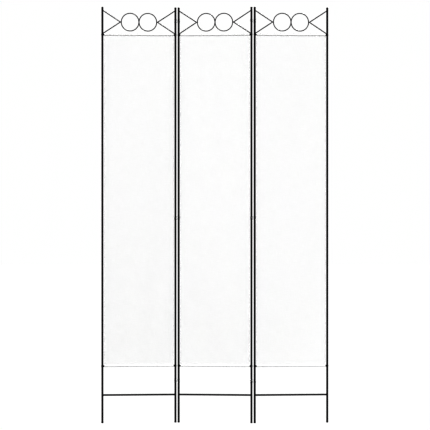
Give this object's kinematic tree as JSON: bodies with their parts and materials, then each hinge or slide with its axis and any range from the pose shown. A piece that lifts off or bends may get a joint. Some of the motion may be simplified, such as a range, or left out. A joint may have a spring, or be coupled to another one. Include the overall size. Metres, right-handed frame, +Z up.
{
  "type": "folding room divider screen",
  "caption": "Tall folding screen of black steel posts with white fabric panels, crested with rings between V-shaped wires, joined by clear twin clips.",
  "frame": {"origin": "on the floor, under the middle of the centre panel", "axes": "+Z up along the posts, +X along the screen to the viewer's right, -Y towards the viewer"},
  "size_m": [1.2016, 0.0512, 2.2],
  "materials": {
    "frame_steel": "satin",
    "rod_steel": "satin",
    "black_plastic": "matte",
    "clear_plastic": "gloss",
    "white_fabric": "matte"
  },
  "bodies": {
    "centre_panel": {"centre_upper_post_left": "frame_steel", "centre_upper_post_right": "frame_steel", "centre_lower_post_left": "frame_steel", "centre_lower_post_right": "frame_steel", "centre_v_wire_left": "frame_steel", "centre_v_wire_right": "frame_steel", "centre_ring_left": "frame_steel", "centre_ring_right": "frame_steel", "centre_bottom_bar": "frame_steel", "centre_top_rod": "rod_steel", "centre_bottom_rod": "rod_steel", "centre_top_rod_sockets": "black_plastic", "centre_bottom_rod_sockets": "black_plastic", "centre_post_caps": "black_plastic", "centre_feet": "black_plastic", "centre_fabric": "white_fabric"},
    "left_panel": {"left_upper_post_left": "frame_steel", "left_upper_post_right": "frame_steel", "left_lower_post_left": "frame_steel", "left_lower_post_right": "frame_steel", "left_v_wire_left": "frame_steel", "left_v_wire_right": "frame_steel", "left_ring_left": "frame_steel", "left_ring_right": "frame_steel", "left_bottom_bar": "frame_steel", "left_top_rod": "rod_steel", "left_bottom_rod": "rod_steel", "left_top_rod_sockets": "black_plastic", "left_bottom_rod_sockets": "black_plastic", "left_post_caps": "black_plastic", "left_feet": "black_plastic", "left_fabric": "white_fabric"},
    "right_panel": {"right_upper_post_left": "frame_steel", "right_upper_post_right": "frame_steel", "right_lower_post_left": "frame_steel", "right_lower_post_right": "frame_steel", "right_v_wire_left": "frame_steel", "right_v_wire_right": "frame_steel", "right_ring_left": "frame_steel", "right_ring_right": "frame_steel", "right_bottom_bar": "frame_steel", "right_top_rod": "rod_steel", "right_bottom_rod": "rod_steel", "right_top_rod_sockets": "black_plastic", "right_bottom_rod_sockets": "black_plastic", "right_post_caps": "black_plastic", "right_feet": "black_plastic", "right_fabric": "white_fabric"},
    "left_hinge": {"left_hinge_clip_top": "clear_plastic", "left_hinge_clip_middle": "clear_plastic", "left_hinge_clip_bottom": "clear_plastic"},
    "right_hinge": {"right_hinge_clip_top": "clear_plastic", "right_hinge_clip_middle": "clear_plastic", "right_hinge_clip_bottom": "clear_plastic"}
  },
  "joints": [
    {"name": "left_clip_swivel", "type": "hinge", "parent": "centre_panel", "child": "left_hinge", "pos_m": [-0.19269, 0.02025, 0], "axis": [0, 0, 1], "range_deg": [-51, 84]},
    {"name": "left_panel_swivel", "type": "hinge", "parent": "left_hinge", "child": "left_panel", "pos_m": [-0.20989, 0.02025, 0], "axis": [0, 0, 1], "range_deg": [-51, 84]},
    {"name": "right_clip_swivel", "type": "hinge", "parent": "centre_panel", "child": "right_hinge", "pos_m": [0.19269, -0.02025, 0], "axis": [0, 0, 1], "range_deg": [-51, 84]},
    {"name": "right_panel_swivel", "type": "hinge", "parent": "right_hinge", "child": "right_panel", "pos_m": [0.20989, -0.02025, 0], "axis": [0, 0, 1], "range_deg": [-51, 84]}
  ]
}
